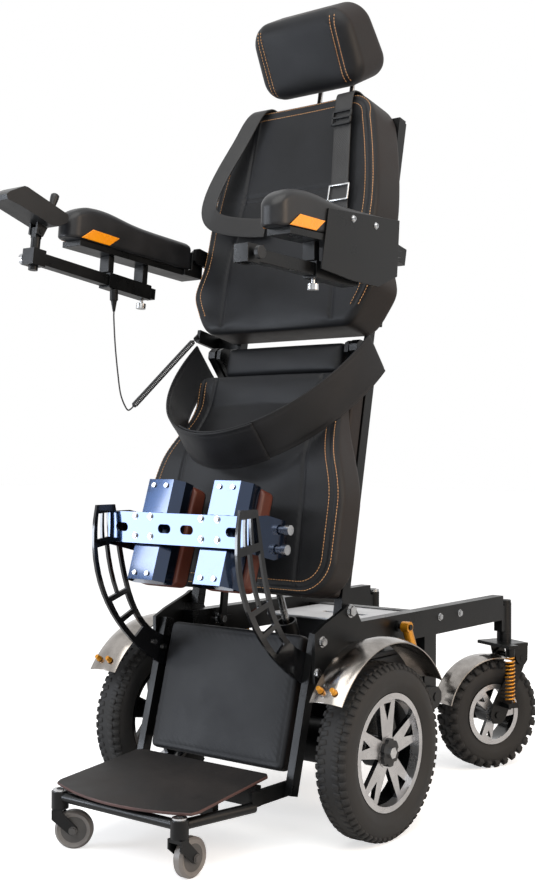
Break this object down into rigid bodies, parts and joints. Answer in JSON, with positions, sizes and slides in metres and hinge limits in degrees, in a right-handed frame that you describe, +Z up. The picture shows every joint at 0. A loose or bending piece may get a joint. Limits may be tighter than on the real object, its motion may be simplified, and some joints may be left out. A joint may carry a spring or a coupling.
{
  "type": "standing wheelchair",
  "caption": "Powered wheelchair whose seat lifts the user to standing, with knee support, lap belt, footplate, armrests, joystick controller and sprung wheels.",
  "frame": {"origin": "on the floor, below the middle of the chair's box", "axes": "-Y to the front, +X to the user's left, +Z up"},
  "size_m": [0.676, 1.3076, 1.7987],
  "materials": {
    "frame": "satin black powder coat with fine texture",
    "gloss_black": "glossy black",
    "leather": "black upholstery leather, fine grain, orange twin stitching",
    "tyre": "black tread rubber",
    "alloy": "silver painted alloy",
    "chrome": "polished chrome",
    "steel": "brushed steel",
    "gold": "gold anodised",
    "amber": "amber lamp band",
    "castor_tyre": "grey translucent castor tread",
    "webbing": "black woven webbing",
    "mat": "dark ribbed foot mat",
    "cord": "black cord jacket",
    "housing": "moulded black plastic"
  },
  "bodies": {
    "base": {"base_frame": "frame", "deck_plate": "alloy", "power_pack": "housing", "shock_bodies": "gold", "fender_left": "chrome", "fender_right": "chrome"},
    "seat": {"seat_frame": "frame", "seat_cushion": "leather", "lap_belt": "leather"},
    "back": {"back_frame": "frame", "back_cushion": "leather", "chest_straps": "webbing", "cord_lead": "cord", "cord_curl": "cord"},
    "headrest": {"headrest_posts": "steel", "headrest_pad": "leather"},
    "parallel_link": {"parallel_links": "frame"},
    "lift_tube": {"lift_tube": "frame"},
    "lift_rod": {"lift_rod": "steel"},
    "legrest": {"legrest_frame": "frame", "calf_pad": "leather", "knee_arms": "gloss_black"},
    "knee_support": {"knee_bar": "gloss_black", "knee_shells": "gloss_black", "knee_pads": "leather"},
    "footplate": {"footplate_frame": "frame", "footplate_panel": "mat"},
    "accessory_bar": {"accessory_bar": "frame"},
    "controller_bar": {"controller_bar": "frame"},
    "controller": {"controller_housing": "housing"},
    "power_button": {"power_button": "steel"},
    "horn_button": {"horn_button": "steel"},
    "joystick_ball": {"joystick_ball": "housing"},
    "joystick": {"joystick": "housing"},
    "armrest_left": {"armrest_left": "frame", "armrest_pad_left": "leather", "armrest_lamps_left": "amber"},
    "drive_arm_left": {"drive_arm_left": "frame"},
    "drive_wheel_left": {"drive_tyre_left": "tyre", "drive_rim_left": "alloy"},
    "caster_left": {"caster_crown_left": "frame", "caster_spring_left": "gold"},
    "caster_fork_left": {"caster_fork_left": "frame"},
    "caster_wheel_left": {"caster_tyre_left": "tyre", "caster_rim_left": "alloy"},
    "front_castor_left": {"front_fork_left": "frame"},
    "front_wheel_left": {"front_wheel_left": "castor_tyre"},
    "armrest_right": {"armrest_right": "frame", "armrest_pad_right": "leather", "armrest_lamps_right": "amber"},
    "drive_arm_right": {"drive_arm_right": "frame"},
    "drive_wheel_right": {"drive_tyre_right": "tyre", "drive_rim_right": "alloy"},
    "caster_right": {"caster_crown_right": "frame", "caster_spring_right": "gold"},
    "caster_fork_right": {"caster_fork_right": "frame"},
    "caster_wheel_right": {"caster_tyre_right": "tyre", "caster_rim_right": "alloy"},
    "front_castor_right": {"front_fork_right": "frame"},
    "front_wheel_right": {"front_wheel_right": "castor_tyre"}
  },
  "joints": [
    {"name": "seat_lift", "type": "hinge", "parent": "base", "child": "seat", "pos_m": [0, -0.13343, 0.45], "axis": [-1, 0, 0], "range_deg": [0, 78]},
    {"name": "back_hinge", "type": "hinge", "parent": "seat", "child": "back", "pos_m": [0, -0.07357, 0.99501], "axis": [1, 0, 0], "range_deg": [0, 78]},
    {"name": "parallel_link", "type": "hinge", "parent": "base", "child": "parallel_link", "pos_m": [0, -0.08743, 0.398], "axis": [-1, 0, 0], "range_deg": [0, 78]},
    {"name": "lift_tube", "type": "hinge", "parent": "base", "child": "lift_tube", "pos_m": [0, 0.02257, 0.18], "axis": [-1, 0, 0], "range_deg": [0, 2]},
    {"name": "lift_rod", "type": "hinge", "parent": "seat", "child": "lift_rod", "pos_m": [0, -0.10187, 0.50481], "axis": [1, 0, 0], "range_deg": [0, 76.1]},
    {"name": "legrest_raise", "type": "hinge", "parent": "base", "child": "legrest", "pos_m": [0, -0.23243, 0.398], "axis": [-1, 0, 0], "range_deg": [0, 12]},
    {"name": "footplate_fold", "type": "hinge", "parent": "legrest", "child": "footplate", "pos_m": [0, -0.30749, 0.11788], "axis": [-1, 0, 0], "range_deg": [0, 42]},
    {"name": "knee_support_slide", "type": "slide", "parent": "legrest", "child": "knee_support", "axis": [0, 1, 0], "range_m": [-0.012, 0.025]},
    {"name": "headrest_slide", "type": "slide", "parent": "back", "child": "headrest", "axis": [0, 0.2079, 0.9781], "range_m": [0, 0.06]},
    {"name": "accessory_bar_slide", "type": "slide", "parent": "armrest_left", "child": "accessory_bar", "axis": [0, -0.9994, 0.0349], "range_m": [-0.03, 0.06]},
    {"name": "controller_bar_slide", "type": "slide", "parent": "armrest_right", "child": "controller_bar", "axis": [0, -0.9925, 0.1219], "range_m": [0, 0.06]},
    {"name": "controller_tilt", "type": "hinge", "parent": "controller_bar", "child": "controller", "pos_m": [-0.273, -0.54815, 1.22544], "axis": [1, 0, 0], "range_deg": [-5, 15]},
    {"name": "joystick_pitch", "type": "hinge", "parent": "controller", "child": "joystick_ball", "pos_m": [-0.273, -0.51525, 1.26029], "axis": [1, 0, 0], "range_deg": [-13, 13], "stiffness_Nm_per_rad": 0.4},
    {"name": "joystick_roll", "type": "hinge", "parent": "joystick_ball", "child": "joystick", "pos_m": [-0.273, -0.51525, 1.26029], "axis": [0, 0.9397, -0.342], "range_deg": [-13, 13], "stiffness_Nm_per_rad": 0.4},
    {"name": "power_button_press", "type": "slide", "parent": "controller", "child": "power_button", "axis": [0, -0.342, -0.9397], "range_m": [0, 0.0015], "stiffness_N_per_m": 900, "springref_m": -0.0006},
    {"name": "horn_button_press", "type": "slide", "parent": "controller", "child": "horn_button", "axis": [0, -0.342, -0.9397], "range_m": [0, 0.0015], "stiffness_N_per_m": 900, "springref_m": -0.0006},
    {"name": "armrest_flip_left", "type": "hinge", "parent": "back", "child": "armrest_left", "pos_m": [0.25, -0.08743, 1.225], "axis": [-1, 0, 0], "range_deg": [0, 80]},
    {"name": "suspension_left", "type": "hinge", "parent": "base", "child": "drive_arm_left", "pos_m": [0.22, 0.19757, 0.225], "axis": [-1, 0, 0], "range_deg": [0, 1.4], "stiffness_Nm_per_rad": 4000, "springref_deg": -4.58},
    {"name": "drive_spin_left", "type": "hinge", "parent": "drive_arm_left", "child": "drive_wheel_left", "pos_m": [0.3, -0.14743, 0.1775], "axis": [1, 0, 0], "continuous": true},
    {"name": "caster_swivel_left", "type": "hinge", "parent": "base", "child": "caster_left", "pos_m": [0.197, 0.57457, 0.34], "axis": [0, 0, 1], "continuous": true},
    {"name": "caster_spring_left", "type": "hinge", "parent": "caster_left", "child": "caster_fork_left", "pos_m": [0.20473, 0.59193, 0.268], "axis": [-0.9135, 0.4067, 0], "range_deg": [0, 3], "stiffness_Nm_per_rad": 900, "springref_deg": -4.58, "deforming": ["caster_spring_left"]},
    {"name": "caster_spin_left", "type": "hinge", "parent": "caster_fork_left", "child": "caster_wheel_left", "pos_m": [0.17585, 0.52707, 0.132], "axis": [0.9135, -0.4067, 0], "continuous": true},
    {"name": "front_swivel_left", "type": "hinge", "parent": "footplate", "child": "front_castor_left", "pos_m": [0.158, -0.58443, 0.095], "axis": [0, 0, 1], "continuous": true},
    {"name": "front_spin_left", "type": "hinge", "parent": "front_castor_left", "child": "front_wheel_left", "pos_m": [0.158, -0.55643, 0.0375], "axis": [1, 0, 0], "continuous": true},
    {"name": "armrest_flip_right", "type": "hinge", "parent": "back", "child": "armrest_right", "pos_m": [-0.25, -0.08743, 1.225], "axis": [-1, 0, 0], "range_deg": [0, 80]},
    {"name": "suspension_right", "type": "hinge", "parent": "base", "child": "drive_arm_right", "pos_m": [-0.22, 0.19757, 0.225], "axis": [-1, 0, 0], "range_deg": [0, 1.4], "stiffness_Nm_per_rad": 4000, "springref_deg": -4.58},
    {"name": "drive_spin_right", "type": "hinge", "parent": "drive_arm_right", "child": "drive_wheel_right", "pos_m": [-0.3, -0.14743, 0.1775], "axis": [1, 0, 0], "continuous": true},
    {"name": "caster_swivel_right", "type": "hinge", "parent": "base", "child": "caster_right", "pos_m": [-0.197, 0.57457, 0.34], "axis": [0, 0, 1], "continuous": true},
    {"name": "caster_spring_right", "type": "hinge", "parent": "caster_right", "child": "caster_fork_right", "pos_m": [-0.18927, 0.59193, 0.268], "axis": [-0.9135, 0.4067, 0], "range_deg": [0, 3], "stiffness_Nm_per_rad": 900, "springref_deg": -4.58, "deforming": ["caster_spring_right"]},
    {"name": "caster_spin_right", "type": "hinge", "parent": "caster_fork_right", "child": "caster_wheel_right", "pos_m": [-0.21815, 0.52707, 0.132], "axis": [0.9135, -0.4067, 0], "continuous": true},
    {"name": "front_swivel_right", "type": "hinge", "parent": "footplate", "child": "front_castor_right", "pos_m": [-0.158, -0.58443, 0.095], "axis": [0, 0, 1], "continuous": true},
    {"name": "front_spin_right", "type": "hinge", "parent": "front_castor_right", "child": "front_wheel_right", "pos_m": [-0.13594, -0.56719, 0.0375], "axis": [0.6157, -0.788, 0], "continuous": true}
  ],
  "couplings": [
    {"joint": "back_hinge", "follows": "seat_lift", "ratio": 1},
    {"joint": "parallel_link", "follows": "seat_lift", "ratio": 1},
    {"joint": "lift_tube", "follows": "seat_lift", "ratio": 0.025},
    {"joint": "lift_rod", "follows": "seat_lift", "ratio": 0.975},
    {"joint": "legrest_raise", "follows": "seat_lift", "ratio": 0.15385}
  ]
}
